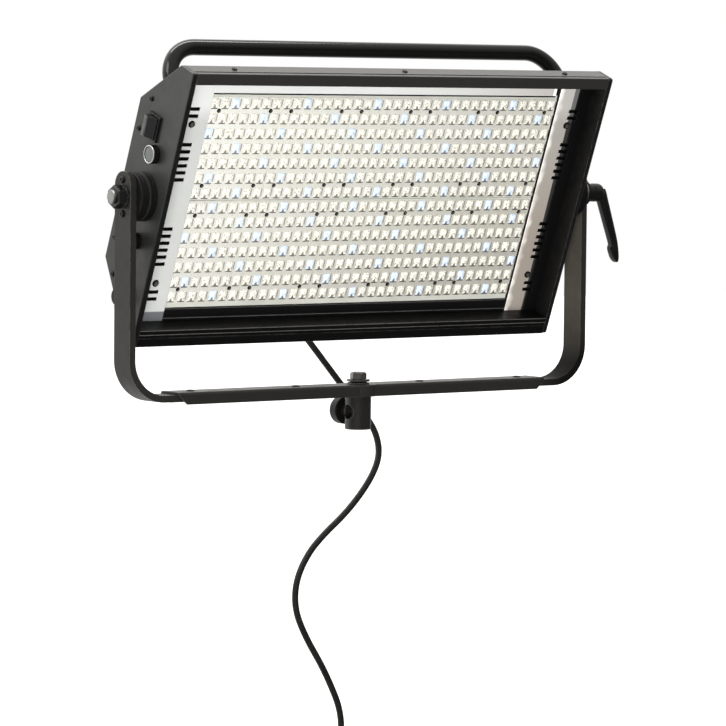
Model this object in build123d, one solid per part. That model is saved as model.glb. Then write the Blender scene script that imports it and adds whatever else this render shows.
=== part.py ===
from build123d import *
import math
import os

# LED panel light in a yoke.  Millimetres, +Z up.
# Origin: mouth of the stand socket in the receiver.  The lamp face looks
# towards -Y, the light is widest along X.

# ------------------------------------------------------------------ sizes
PIVOT_Z = 258.7          # tilt axis above the socket mouth
TILT = 21.3              # face looks this many degrees below the horizon

# head, in its own frame: Y to the back, Z up, tilt axis at (0, 0)
HEAD_HALF = 285.0        # half width over the end plates
PLATE_T = 6.0            # end plate
INNER = HEAD_HALF - PLATE_T
OUTLINE = [(-38, 154), (-13, 154), (46, 95), (46, -89), (-24, -159), (-38, -159)]
SHEET_T = 1.6            # folded back cover
TRAY_F = -7.9            # front face of the tray that carries the boards
TRAY_T = 3.0
TRAY_TOP, TRAY_BOTTOM = 141.5, -139.5

# light emitters: 35 columns by 14 rows
PITCH_X, PITCH_Z = 13.44, 17.21
ROW_MID = -1.2
CELL_X, CELL_Z = 11.7, 12.4
BOARD_X, BOARD_TOP, BOARD_BOTTOM = 93.7, 123.0, -126.0
BOARD_F = -9.5           # front face of the boards
LENS_TOP = -14.0

# carry handle
TUBE_R = 8.8
TUBE_BORE = 6.8
HANDLE_X = 265.0
HANDLE_Y, HANDLE_Z = 52.9, 149.4
HANDLE_BEND = 39.0

# yoke
ARM_T = 7.5
ARM_W = 30.0
ARM_IN = 304.7
ARM_OUT = ARM_IN + ARM_T
BEND_C = 266.7           # bend centre |x|
BEND_Z = 85.5
BAR_HALF = 250.0
BAR_W = 36.0
BAR_T = 2.6
WEB_TOP, WEB_BOTTOM = 50.1, 47.5
BAR_LOW = 37.0

# receiver
SOCKET_R = 8.1           # takes a 16 mm stud
SOCKET_DEEP = 34.0
BODY_R = 14.5
COLLAR_R = 18.0
CROSS_Z = 19.5
PAN_R = 5.0              # M10 swivel bolt
PAN_HOLE_R = 5.08

# pivots
DISC_R = 26.5
LEFT_R, LEFT_HOLE_R = 7.6, 7.68
RIGHT_R, RIGHT_HOLE_R = 5.0, 5.08

# cord
CORD_D = 7.3
COIL_C = (21.6, 34.5, -420.1)
COIL_R = 40.0
COIL_HALF = 11.2

os.makedirs("parts", exist_ok=True)
nodes = {}


def put(name, *shapes):
    nodes.setdefault(name, []).extend(shapes)


def polygon(pts, r=0.0):
    sk = make_face(Polyline(*pts, close=True))
    if r:
        sk = fillet(sk.vertices(), r)
    return sk


def yz(pts, x0, x1, r=0.0):
    """prism along X from points (y, z)"""
    s = extrude(polygon(pts, r), amount=x1 - x0)
    return Plane(origin=(x0, 0, 0), x_dir=(0, 1, 0), z_dir=(1, 0, 0)).location * s


def xz(pts, y0, y1, r=0.0):
    """prism along Y from points (x, z)"""
    s = extrude(polygon(pts, r), amount=y1 - y0)
    return Plane(origin=(0, y1, 0), x_dir=(1, 0, 0), z_dir=(0, -1, 0)).location * s


def xy(pts, z0, z1, r=0.0):
    return Pos(0, 0, z0) * extrude(polygon(pts, r), amount=z1 - z0)


def bx(x0, x1, y0, y1, z0, z1):
    return Pos((x0 + x1) / 2, (y0 + y1) / 2, (z0 + z1) / 2) * Box(
        abs(x1 - x0), abs(y1 - y0), abs(z1 - z0))


def along(p, d, shape, x_dir=None):
    """a shape built on +Z from the origin, moved to p and turned to d"""
    pl = Plane(origin=p, z_dir=d) if x_dir is None else Plane(origin=p, x_dir=x_dir, z_dir=d)
    return pl.location * shape


def rod(p, d, r, length, hole=0.0):
    s = Pos(0, 0, length / 2) * Cylinder(r, length)
    if hole:
        s -= Pos(0, 0, length / 2) * Cylinder(hole, length + 2)
    return along(p, d, s)


def lathe(pts):
    """turned shape about +Z from points (radius, height)"""
    return revolve(make_face(Polyline(*[(r, 0, z) for r, z in pts], close=True)), Axis.Z)


def hexagon(flats, h, hole=0.0):
    s = extrude(RegularPolygon(flats / math.sqrt(3), 6), amount=h)
    top = s.faces().sort_by(Axis.Z)[-1]
    s = chamfer(top.edges(), 0.8)
    if hole:
        s -= Pos(0, 0, h / 2) * Cylinder(hole, h + 2)
    return s


def pan_screw(head_r, head_h, r, length, socket):
    """pan head on +Z, shank down -Z, hexagon recess in the head"""
    s = lathe([(0, 0), (head_r, 0), (head_r, head_h * 0.45), (head_r * 0.86, head_h * 0.8),
               (head_r * 0.6, head_h), (0, head_h)])
    s += Pos(0, 0, -length / 2) * Cylinder(r, length)
    s -= Pos(0, 0, head_h - head_h * 0.25) * extrude(RegularPolygon(socket, 6), amount=head_h)
    return s


HEAD = Location((0, 0, PIVOT_Z), (TILT, 0, 0))
S, C = math.sin(math.radians(TILT)), math.cos(math.radians(TILT))
R2 = math.sqrt(0.5)

# ------------------------------------------------------------------ receiver
receiver = lathe([(0, 0), (BODY_R, 0), (BODY_R, BAR_LOW), (COLLAR_R, BAR_LOW),
                  (COLLAR_R, 46.5), (0, 46.5)])
receiver = chamfer(receiver.edges().filter_by(GeomType.CIRCLE).group_by(Axis.Z)[0], 0.8)
receiver += rod((0, 0, CROSS_Z), (0, 1, 0), 8.5, 17.0)
receiver -= Pos(0, 0, SOCKET_DEEP / 2) * Cylinder(SOCKET_R, SOCKET_DEEP)
receiver -= rod((-30, 0, CROSS_Z), (1, 0, 0), SOCKET_R, 60)
receiver -= rod((0, 0, CROSS_Z), (0, 1, 0), 4.05, 30)
receiver -= Pos(0, 0, 42) * Cylinder(5.05, 12)
put("stand_receiver", receiver)

put("receiver_lock_screw", rod((0, 8.6, CROSS_Z), (0, 1, 0), 4.0, 20.4))
knob = extrude(Circle(15.5), amount=12.5)
knob = fillet(knob.edges().filter_by(GeomType.CIRCLE), 1.6)
knob -= Pos(0, 0, 3.9) * Cylinder(4.0, 9.2)
knob += Pos(0, 0, -1.0) * (Cylinder(8.0, 2.0) - Cylinder(4.0, 3.0))
put("receiver_lock_knob", along((0, 20.5, CROSS_Z), (0, 1, 0), knob))

bolt = Pos(0, 0, 55.2) * Rot(0, 0, 14) * (hexagon(16.0, 8.0) & lathe(
    [(0, 0), (7.9, 0), (9.3, 1.3), (9.3, 6.3), (7.3, 8.0), (0, 8.0)]))
bolt += Pos(0, 0, 45.7) * Cylinder(PAN_R, 19.4)
put("swivel_bolt", bolt)
put("swivel_washers", Pos(0, 0, 54.1) * (Cylinder(12.7, 2.2) - Cylinder(5.1, 3)))
put("swivel_washers", Pos(0, 0, 50.2) * lathe([(5.2, 1.2), (12.0, 0), (12.0, 1.4), (5.2, 2.8)]))
put("swivel_slip_washer", Pos(0, 0, 46.95) * (Cylinder(COLLAR_R, 0.9) - Cylinder(5.1, 2)))

# ------------------------------------------------------------------ yoke
bar = bx(-BAR_HALF, BAR_HALF, -BAR_W / 2, BAR_W / 2, BAR_LOW, WEB_TOP)
bar = fillet(bar.edges().filter_by(Axis.X).group_by(Axis.Z)[-1], 3.0)
inner = BAR_W / 2 - BAR_T
bar -= bx(-300, 300, -inner, inner, 0, WEB_BOTTOM)
for s in (-1, 1):
    bar -= xz([(s * 251, 36), (s * 251, 47.0), (s * 238, 36)], -20, 20)
# the flanges bow out round the receiver's collar
bow = Pos(0, 0, (BAR_LOW + WEB_TOP) / 2) * Cylinder(20.8, WEB_TOP - BAR_LOW)
bow = fillet(bow.edges().filter_by(GeomType.CIRCLE).group_by(Axis.Z)[-1], 2.0)
bow -= bx(-30, 30, -inner - 0.5, inner + 0.5, 0, 60)
bar += bow
bar -= Pos(0, 0, WEB_BOTTOM / 2) * Cylinder(18.4, WEB_BOTTOM)
bar -= Pos(0, 0, 49) * Cylinder(PAN_HOLE_R, 6)
BAR_SCREWS = (-224.0, -85.0, 85.0, 224.0)
for x in BAR_SCREWS:
    bar -= Pos(x, 0, 49) * Cylinder(2.6, 6)
put("yoke_crossbar", bar)

for name, s in (("yoke_arm_left", -1), ("yoke_arm_right", 1)):
    line = Polyline((60, WEB_BOTTOM - ARM_T), (BEND_C, WEB_BOTTOM - ARM_T))
    outer = RadiusArc((BEND_C, WEB_BOTTOM - ARM_T), (ARM_OUT, BEND_Z), -(ARM_OUT - BEND_C))
    up = Polyline((ARM_OUT, BEND_Z), (ARM_OUT, PIVOT_Z + 27), (ARM_IN, PIVOT_Z + 27), (ARM_IN, BEND_Z))
    inn = RadiusArc((ARM_IN, BEND_Z), (BEND_C, WEB_BOTTOM), ARM_IN - BEND_C)
    back = Polyline((BEND_C, WEB_BOTTOM), (60, WEB_BOTTOM), (60, WEB_BOTTOM - ARM_T))
    arm = extrude(make_face([line, outer, up, inn, back]), amount=ARM_W)
    arm = Plane(origin=(0, ARM_W / 2, 0), x_dir=(1, 0, 0), z_dir=(0, -1, 0)).location * arm
    top = PIVOT_Z + 27 - ARM_W / 2
    mask = extrude(Pos(0, (top - 100) / 2) * Rectangle(ARM_W, top + 100) + Pos(0, top) * Circle(ARM_W / 2), amount=400)
    arm = arm & (Plane(origin=(0, 0, 0), x_dir=(0, 1, 0), z_dir=(1, 0, 0)).location * mask)
    hole = LEFT_HOLE_R if s < 0 else RIGHT_HOLE_R
    arm -= rod((280, 0, PIVOT_Z), (1, 0, 0), hole, 60)
    for dz in ((-18, 18) if s < 0 else (-20, 20)):
        arm -= rod((280, 0, PIVOT_Z + dz), (1, 0, 0), 2.6, 60)
    for x in BAR_SCREWS[2:]:
        arm -= Pos(x, 0, 44) * Cylinder(2.6, 12)
    if s < 0:
        arm = mirror(arm, Plane.YZ)
    put(name, arm)

for x in BAR_SCREWS:
    put("yoke_screws", Pos(x, 0, WEB_TOP) * pan_screw(4.6, 1.4, 2.5, 9.0, 2.3))


def disc(x0, x1, r, hole, edge=0.8):
    s = Pos(0, 0, (x1 - x0) / 2) * Cylinder(r, x1 - x0)
    s = chamfer(s.edges(), edge)
    s -= Pos(0, 0, (x1 - x0) / 2) * Cylinder(hole, 60)
    return along((x0, 0, PIVOT_Z), (1, 0, 0), s)


for name, s, hole in (("left", -1, LEFT_HOLE_R), ("right", 1, RIGHT_HOLE_R)):
    span = lambda a, b: (a, b) if s > 0 else (-b, -a)
    hub = disc(*span(295.0, ARM_IN), DISC_R, hole)
    pair = (-18, 18) if s < 0 else (-20, 20)
    for dz in pair:
        hub -= rod((s * 300, 0, PIVOT_Z + dz), (s, 0, 0), 2.6, 8)
    put("pivot_hubs", hub)
    put("friction_washers", disc(*span(293.0, 294.8), DISC_R - 0.5, hole, 0.3))
    boss = disc(*span(285.0, 293.0), DISC_R, hole)
    put("pivot_bosses", boss)
    for dz in pair:
        put("yoke_screws", along((s * ARM_OUT, 0, PIVOT_Z + dz), (s, 0, 0), pan_screw(4.0, 2.2, 2.5, 10.5, 2.0)))

left_bolt = rod((-327.5, 0, PIVOT_Z), (1, 0, 0), LEFT_R, 57.5)
left_bolt = chamfer(left_bolt.edges().filter_by(GeomType.CIRCLE).sort_by(Axis.X)[0], 1.0)
left_bolt += along((-279, 0, PIVOT_Z), (1, 0, 0), hexagon(20.0, 9.0))
put("pivot_bolt_left", left_bolt)
put("pivot_nut_left", rod((-314.0, 0, PIVOT_Z), (1, 0, 0), 13.2, 1.6, LEFT_HOLE_R))
put("pivot_nut_left", along((-314.0, 0, PIVOT_Z), (-1, 0, 0), hexagon(22.0, 10.0, LEFT_R)))
right_stud = rod((272, 0, PIVOT_Z), (1, 0, 0), RIGHT_R, 68.0)
right_stud += along((279, 0, PIVOT_Z), (-1, 0, 0), hexagon(17.0, 7.0))
put("pivot_stud_right", right_stud)
put("pivot_washer_right", rod((ARM_OUT, 0, PIVOT_Z), (1, 0, 0), 15.0, 3.8, RIGHT_HOLE_R))
cone = lathe([(RIGHT_HOLE_R, 0), (15.5, 0), (15.5, 2.4), (11.0, 7.4), (11.0, 9.5), (RIGHT_HOLE_R, 9.5)])
put("pivot_cone_spacer", along((ARM_OUT + 3.8, 0, PIVOT_Z), (1, 0, 0), cone))

# tilt lock: threaded insert on the stud, lever that lifts off its teeth
insert = lathe([(RIGHT_R + 0.06, 0), (6.5, 0), (6.5, 15.0), (RIGHT_R + 0.06, 15.0)])
put("tilt_lock_insert", along((325.8, 0, PIVOT_Z), (1, 0, 0), insert))
LEVER = [(337.5, 258), (341.2, 250), (360.3, 199), (358.3, 194.6), (362.2, 184), (366.4, 179),
         (369.4, 177.6), (370.6, 181), (370.1, 192), (367.7, 204), (352.9, 251), (349.5, 263), (343, 266)]
lever = xz(LEVER, -6.5, 6.5)
lever = chamfer(lever.edges().filter_by(lambda e: abs(abs(e.center().Y) - 6.5) < 0.01), 1.2)
hub = lathe([(0, 0), (9.6, 0), (10.5, 1.0), (10.5, 15.5), (9.6, 17.6), (7.0, 18.0), (0, 18.0)])
lever += along((326.1, 0, PIVOT_Z), (1, 0, 0), hub)
lever -= rod((320, 0, PIVOT_Z), (1, 0, 0), 6.6, 21.2)
lever -= rod((342.2, 0, PIVOT_Z), (1, 0, 0), 6.1, 40)
put("tilt_lever", lever)
cap = lathe([(0, 0), (6.0, 0), (6.0, 1.9), (5.2, 2.8), (3.2, 3.5), (0, 3.8)])
put("tilt_lever_cap", along((342.2, 0, PIVOT_Z), (1, 0, 0), cap))

# ------------------------------------------------------------------ head shell
PLATE_SCREWS = [(24.7, 101.5), (36, 63.5), (36, -62), (24, -100), (-31, -149)]
SWITCH_Y, SWITCH_Z = 9.5, 75.5
BUTTON = (-2.9, 49.3)
KNOBS = {"dimmer": (-5.0, -49.0, 12.0), "colour": (-4.0, -114.0, 10.0)}
for name, s in (("end_plate_left", -1), ("end_plate_right", 1)):
    plate = yz(OUTLINE, INNER, HEAD_HALF, 3.0)
    plate = fillet(plate.faces().sort_by(Axis.X)[-1].edges(), 1.2)
    plate -= rod((270, 0, 0), (1, 0, 0), LEFT_HOLE_R if s < 0 else RIGHT_HOLE_R, 30)
    for y, z in PLATE_SCREWS:
        plate -= rod((270, y, z), (1, 0, 0), 2.0, 30)
    if s < 0:
        plate = mirror(plate, Plane.YZ)
        plate -= bx(-290, -270, SWITCH_Y - 9.6, SWITCH_Y + 9.6, SWITCH_Z - 13.0, SWITCH_Z + 13.0)
        plate -= rod((-290, BUTTON[0], BUTTON[1]), (1, 0, 0), 9.0, 30)
        for y, z, h in KNOBS.values():
            plate -= rod((-290, y, z), (1, 0, 0), 3.06, 30)
    put(name, HEAD * plate)
    for y, z in PLATE_SCREWS:
        put("end_plate_screws", HEAD * along((s * HEAD_HALF, y, z), (s, 0, 0), pan_screw(3.0, 2.0, 1.9, 14.0, 1.5)))
        if y > 0:
            q = 3.6
            blk = bx(s * 264, s * INNER, y - q, y + q, z - q, z + q)
            blk -= rod((s * 264 - 2, y, z), (1, 0, 0), 2.0, 18) if s > 0 else rod((s * INNER - 1, y, z), (1, 0, 0), 2.0, 18)
            put("cover_brackets", HEAD * blk)

# top bar: extruded hood over the upper edge
top_bar = yz([(-38, 141.5), (-38, 154), (-13, 154), (-13, 141.5), (-15.2, 141.5), (-15.2, 151.5),
              (-20, 151.5), (-20, 144.5), (-27, 144.5), (-27, 151.5), (-35.8, 151.5), (-35.8, 141.5)],
             -INNER, INNER)
top_bar = fillet(top_bar.edges().filter_by(Axis.X).filter_by(lambda e: e.center().Z > 153.9), 1.2)
top_bar -= bx(-290, 290, -33.5, -31.0, 153.2, 155)
for x in (-224.0, 1.0, 225.0):
    top_bar -= Pos(x, -23.5, 150) * Cylinder(1.5, 10)
    put("cover_screws", HEAD * (Pos(x, -23.5, 154) * pan_screw(3.0, 1.6, 1.4, 8.0, 1.3)))
put("top_bar", HEAD * top_bar)

# bottom bar: hollow extrusion with a front groove and two screw ports
bottom_bar = yz([(-38, -159), (-38, -149), (-37, -149), (-37, -145), (-38, -145), (-38, -139.5),
                 (-13, -139.5), (-13, -148), (-24, -159)], -INNER, INNER)
bottom_bar = fillet(bottom_bar.edges().filter_by(Axis.X).filter_by(
    lambda e: (abs(e.center().Y + 38) < 0.1 and (e.center().Z < -158 or e.center().Z > -140))), 1.2)
cavity = yz([(-35.8, -156.8), (-24.9, -156.8), (-15.2, -147.1), (-15.2, -141.7), (-35.8, -141.7)], -INNER - 1, INNER + 1)
cavity -= rod((-INNER - 2, -31, -149), (1, 0, 0), 5.1, 2 * INNER + 4)
bottom_bar -= cavity
bottom_bar -= rod((-INNER - 2, -31, -149), (1, 0, 0), 2.0, 2 * INNER + 4)
put("bottom_bar", HEAD * bottom_bar)

# back cover: one folded sheet
t = SHEET_T
OUT = [(-13, 144.0), (-13, 153.2), (45.2, 95.0), (45.2, -89.0), (-13, -147.2), (-13, -141.5)]
d = t * math.sqrt(2)
INN = [(-13 + t, -141.5), (-13 + t, -147.2 + d + t), (45.2 - t, -89.0 + t * (math.sqrt(2) - 1)),
       (45.2 - t, 95.0 - t * (math.sqrt(2) - 1)), (-13 + t, 153.2 - d - t), (-13 + t, 144.0)]
cover = yz(OUT + INN, -INNER, INNER)


def bend(part, pts, r):
    keep = [e for e in part.edges().filter_by(Axis.X)
            if any(abs(e.center().Y - y) < 0.05 and abs(e.center().Z - z) < 0.05 for y, z in pts)]
    return fillet(keep, r)


cover = bend(cover, [OUT[2], OUT[3]], 3.0)
cover = bend(cover, [INN[2], INN[3]], 1.4)
cover = bend(cover, [OUT[1], OUT[4]], 1.5)
# ventilation slots in the back
slots = []
for x in (-190, -150, 150, 190):
    for i in range(11):
        slots.append(bx(x - 16, x + 16, 40, 50, -55 + 11 * i, -51 + 11 * i))
cover -= slots
# hole for the cord gland
GLAND = (3.0, 31.0, -104.0)
GN = (0, R2, -R2)
cover -= rod(tuple(GLAND[i] - 15 * GN[i] for i in range(3)), GN, 8.1, 30)
# holes for the handle bolts
UPN = (0, R2, R2)
FOOT = (HANDLE_Y - (HANDLE_Y + HANDLE_Z - 140.2) / 2, HANDLE_Z - (HANDLE_Y + HANDLE_Z - 140.2) / 2)
for s in (-1, 1):
    cover -= rod((s * HANDLE_X, FOOT[0] - 6 * R2, FOOT[1] - 6 * R2), UPN, 3.1, 12)
# screws along the two slanted faces, into square blocks
COVER_SCREWS = []
for x in (-200, 0, 200):
    COVER_SCREWS += [((x, 12.0, 128.2), UPN), ((x + (45 if x == 0 else 0), 12.0, -122.2), GN)]
for p, n in COVER_SCREWS:
    cover -= rod(tuple(p[i] - 6 * n[i] for i in range(3)), n, 1.6, 12)
    put("cover_screws", HEAD * along(p, n, pan_screw(2.9, 1.6, 1.5, 8.0, 1.3)))
    blk = Pos(0, 0, -t - 4.5) * Box(12, 9, 9) - Pos(0, 0, -t - 4) * Cylinder(1.6, 14)
    put("cover_brackets", HEAD * along(p, n, blk, (1, 0, 0)))
put("back_cover", HEAD * cover)

# ------------------------------------------------------------------ inside of the face
TRAY_B = TRAY_F + TRAY_T
tray = bx(-INNER, INNER, TRAY_F, TRAY_B, -135.9, TRAY_TOP)
POCKETS = {-1: [(-125, -103), (-60, -38), (-16, 16), (37, 62)], 1: [(-16, 16)]}
RAIL_IN, RAIL_STEP = 248.0, 262.0
SLOT_Z = [105, 97, 64.5, 56.4, 48.4, 40.4, 32.4, 24.4, -32.3, -40.5, -48.6, -56.7, -64.8, -73, -105.5, -113.6]
STRIP_F, STRIP_T = -13.6, 1.0
STRIP_IN = 235.8
for name, s in (("left", -1), ("right", 1)):
    rail = bx(s * RAIL_IN, s * RAIL_STEP, STRIP_F + STRIP_T, TRAY_F, TRAY_BOTTOM, TRAY_TOP)
    rail += bx(s * RAIL_STEP, s * INNER, -15.0, TRAY_F, TRAY_BOTTOM, TRAY_TOP)
    strip = bx(s * STRIP_IN, s * RAIL_STEP, STRIP_F, STRIP_F + STRIP_T, TRAY_BOTTOM, TRAY_TOP)
    x0, x1 = (-248.6, -263.5) if s < 0 else (254.0, 266.5)
    slots = [bx(min(x0, x1), max(x0, x1), -20, TRAY_F - 0.6, z - 2.1, z + 2.1) for z in SLOT_Z]
    rail -= slots
    strip -= slots
    for z0, z1 in POCKETS[s]:
        pocket = bx(s * RAIL_STEP, s * (INNER + 1), -13.4, TRAY_B + 1, z0, z1)
        rail -= pocket
        tray -= pocket
    for z in (88, -95):
        h = rod((s * 255.3, -20, z), (0, 1, 0), 1.6, 16)
        rail -= h
        strip -= h
        tray -= h
        put("face_screws", HEAD * along((s * 255.3, STRIP_F, z), (0, -1, 0), pan_screw(3.9, 1.9, 1.5, 7.0, 1.7)))
    put("side_rails", HEAD * rail)
    put("reflector_strips", HEAD * strip)
put("reflector_strips", HEAD * bx(-STRIP_IN + 0.4, 229, STRIP_F, STRIP_F + STRIP_T, 123.4, TRAY_TOP))
put("cross_rails", HEAD * bx(-RAIL_IN, RAIL_IN, STRIP_F + STRIP_T, TRAY_F, 124.0, TRAY_TOP))
put("cross_rails", HEAD * bx(-STRIP_IN + 0.2, STRIP_IN - 0.2, -13.0, TRAY_F, TRAY_BOTTOM, -126.6))

# boards: five across, two high, each with seven by seven emitters
for i in range(5):
    for j in range(2):
        cx = (i - 2) * 7 * PITCH_X
        z0, z1 = (ROW_MID + 0.2, BOARD_TOP) if j == 0 else (BOARD_BOTTOM, ROW_MID - 0.2)
        rows = [ROW_MID + (6.5 - r) * PITCH_Z for r in range(7 * j, 7 * j + 7)]
        cols = [cx + (c - 3) * PITCH_X for c in range(7)]
        board = bx(cx - BOARD_X / 2, cx + BOARD_X / 2, BOARD_F, TRAY_F, z0, z1)
        sk = Sketch() + [Pos(x, z) * Rectangle(CELL_X, CELL_Z) for x in cols for z in rows]
        pads = Plane(origin=(0, BOARD_F - 0.8, 0), x_dir=(1, 0, 0), z_dir=(0, -1, 0)).location * extrude(sk, amount=-LENS_TOP + BOARD_F - 0.8)
        zm0, zm1 = min(rows) - CELL_Z / 2 - 0.6, max(rows) + CELL_Z / 2 + 0.6
        plate = bx(cols[0] - CELL_X / 2 - 0.6, cols[-1] + CELL_X / 2 + 0.6, BOARD_F - 0.8, BOARD_F, zm0, zm1)
        plate += pads
        for c in (0.5, 5.5):
            for r in (0.5, 5.5):
                x, z = cols[0] + c * PITCH_X, rows[0] - r * PITCH_Z
                plate -= rod((x, -20, z), (0, 1, 0), 2.7, 30)
                board -= rod((x, -20, z), (0, 1, 0), 1.6, 30)
                tray -= rod((x, -20, z), (0, 1, 0), 1.6, 30)
                put("face_screws", HEAD * along((x, BOARD_F, z), (0, -1, 0), pan_screw(2.3, 1.6, 1.5, 4.6, 1.1)))
        put("led_boards", HEAD * board)
        put("lens_plates", HEAD * plate)
put("led_tray", HEAD * tray)

sink = bx(-225, 225, TRAY_B, TRAY_B + 3, -110, 110)
sink += [bx(-218.5 + 15 * i, -216.5 + 15 * i, TRAY_B + 3, 14, -110, 110) for i in range(30)]
put("heat_sink", HEAD * sink)
supply = bx(-120, 0, 18, 43.6, -60, 30)
supply -= [bx(-110 + 12 * i, -104 + 12 * i, 17, 20, -45, 15) for i in range(9)]
put("power_supply", HEAD * supply)
put("driver_board", HEAD * bx(30, 120, 30, 31.6, -50, 40),
    *[HEAD * s for s in (bx(40, 62, 18, 30, -40, -14), bx(70, 86, 20, 30, -36, -20), bx(94, 112, 24, 30, 2, 30),
                         bx(42, 60, 22, 30, 4, 26))],
    *[HEAD * rod((x, 31.6, z), (0, 1, 0), 3.0, 12.0) for x in (35, 115) for z in (-45, 35)])

# ------------------------------------------------------------------ carry handle
nose = 4.0
path = FilletPolyline(
    (-HANDLE_X, FOOT[0] + nose * R2, FOOT[1] + nose * R2), (-HANDLE_X, HANDLE_Y, HANDLE_Z),
    (HANDLE_X, HANDLE_Y, HANDLE_Z), (HANDLE_X, FOOT[0] + nose * R2, FOOT[1] + nose * R2), radius=HANDLE_BEND)
ring = Plane(origin=path @ 0, z_dir=path % 0) * (Circle(TUBE_R) - Circle(TUBE_BORE))
put("carry_handle", HEAD * sweep(ring, path=path))
for s in (-1, 1):
    foot = lathe([(3.05, 0), (12.0, 0), (12.0, 2.2), (10.4, nose), (3.05, nose)])
    put("handle_feet", HEAD * along((s * HANDLE_X, FOOT[0], FOOT[1]), UPN, foot))
    p = (s * HANDLE_X, FOOT[0] - t * R2, FOOT[1] - t * R2)
    b = hexagon(10.0, 5.0) + Pos(0, 0, -6.5) * Cylinder(3.0, 13.0)
    put("handle_bolts", HEAD * along(p, tuple(-c for c in UPN), b))

# ------------------------------------------------------------------ controls on the left end plate
X = -HEAD_HALF
bezel = bx(X - 3, X, SWITCH_Y - 11, SWITCH_Y + 11, SWITCH_Z - 14, SWITCH_Z + 14)
bezel = fillet(bezel.faces().sort_by(Axis.X)[0].edges(), 1.0)
bezel += bx(X, X + 23, SWITCH_Y - 9.5, SWITCH_Y + 9.5, SWITCH_Z - 12.9, SWITCH_Z + 12.9)
bezel -= bx(X - 4, X + 11.5, SWITCH_Y - 8.5, SWITCH_Y + 8.5, SWITCH_Z - 11.7, SWITCH_Z + 11.7)
PIN_X = X + 2.0
bezel -= Pos(PIN_X, SWITCH_Y, SWITCH_Z) * Cylinder(1.56, 25.0)
put("switch_bezel", HEAD * bezel)
paddle = [(-8.2, 8.0), (-11.6, 7.9), (-12.5, 7.2), (-12.8, 2.8), (-11.8, 1.4), (-6.2, -8.0), (-3, -6), (-3, 5)]
rocker = Pos(PIN_X, SWITCH_Y, SWITCH_Z) * (
    Cylinder(8.2, 22.8) + Pos(0, 0, -11.4) * extrude(polygon(paddle), amount=22.8) + Cylinder(1.5, 25.0))
put("power_rocker", HEAD * rocker)

by, bz = BUTTON
barrel = lathe([(0, -20), (8.8, -20), (8.8, 0), (10.0, 0), (10.0, 7.2), (8.4, 7.2), (8.4, -3.4), (0, -3.4)])
put("button_barrel", HEAD * along((X, by, bz), (-1, 0, 0), barrel))
rim = lathe([(8.45, 7.2), (10.0, 7.2), (10.0, 7.9), (9.6, 8.4), (8.8, 8.4), (8.45, 8.0)])
put("button_ring", HEAD * along((X, by, bz), (-1, 0, 0), rim))
cap = lathe([(0, -1.2), (8.2, -1.2), (8.2, 7.2), (7.6, 7.8), (4.0, 8.1), (0, 8.2)])
put("power_button", HEAD * along((X, by, bz), (-1, 0, 0), cap))
nut = extrude(RegularPolygon(11.4, 6), amount=4.0) - Pos(0, 0, 2) * Cylinder(8.8, 6)
put("panel_nuts", HEAD * along((X + PLATE_T, by, bz), (1, 0, 0), nut, (0, 0, 1)))

for name, (y, z, h) in KNOBS.items():
    k = Cylinder(9.0, h)
    k -= [Pos(9.6 * math.cos(a), 9.6 * math.sin(a), 1.5) * Cylinder(1.0, h)
          for a in [math.radians(15 * i) for i in range(24)]]
    k = Pos(0, 0, h / 2) * k
    k -= Pos(0, 0, (h - 3) / 2 - 0.01) * Cylinder(3.0, h - 3)
    k -= Pos(0, 6.5, h) * Box(1.2, 5.0, 1.2)
    put(name + "_knob", HEAD * along((X - 0.4, y, z), (-1, 0, 0), k, (0, 1, 0)))
    put(name + "_knob", HEAD * rod((X - 0.4 - (h - 3), y, z), (1, 0, 0), 3.0, h - 3 + 0.4 + 15.0))
    pot = Pos(0, 0, 5.5) * Cylinder(7.5, 11.0) - Pos(0, 0, 4.4) * Cylinder(3.06, 9.4)
    put("control_pots", HEAD * along((X + PLATE_T, y, z), (1, 0, 0), pot))

# ------------------------------------------------------------------ cord entry
g0 = -(135.0 - 134.2) * R2     # cover face, measured along the gland from the end plate's outline
gland = Pos(0, 0, g0) * hexagon(22.0, 4.6) + Pos(0, 0, g0 - 4.6) * Cylinder(8.0, 9.2)
put("cord_gland", HEAD * along(GLAND, GN, gland, (1, 0, 0)))
put("panel_nuts", HEAD * along(tuple(GLAND[i] + (g0 - t) * GN[i] for i in range(3)),
                                  tuple(-c for c in GN), hexagon(22.0, 4.5, 8.0), (1, 0, 0)))
dome = lathe([(0, g0 + 4.6), (9.6, g0 + 4.6), (9.6, 10.0), (8.4, 12.6), (6.6, 14.0), (0, 14.0)])
put("cord_gland", HEAD * along(GLAND, GN, dome))
boot = lathe([(0, 14.0), (6.4, 14.0), (6.2, 18.0), (5.2, 28.0), (4.5, 38.0), (0, 38.0)])
put("strain_relief_boot", HEAD * along(GLAND, GN, boot))

# ------------------------------------------------------------------ cord
ROUTE = [(3.0, 101.5, 157.8), (3.0, 117.9, 150.6), (6.2, 131.3, 136.7), (12.1, 137.7, 119.2), (19.7, 136.0, 101.3),
         (32.6, 122.6, 77.5), (49.0, 102.4, 44.6), (63.6, 83.4, 15.5), (72.9, 72.0, -2.5), (76.0, 64.5, -18.5), (73.8, 58.0, -36.0),
         (63.9, 53.5, -53.8), (45.4, 50.0, -75.2), (18.7, 47.5, -99.4), (-12.9, 45.5, -121.1),
         (-35.8, 44.0, -141.9), (-51.8, 43.2, -171.0), (-52.8, 42.6, -202.0), (-38.2, 42.2, -233.1),
         (-15.2, 42.0, -267.3), (-1.1, 42.0, -293.1), (9.5, 42.0, -316.0), (13.0, 42.0, -340.0),
         (9.0, 42.0, -361.0), (-1.5, 42.0, -376.0), (-12.0, 42.0, -386.5)]
base = (GLAND[1] * C - GLAND[2] * S, PIVOT_Z + GLAND[1] * S + GLAND[2] * C)
gy, gz = R2 * C + R2 * S, R2 * S - R2 * C
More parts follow.
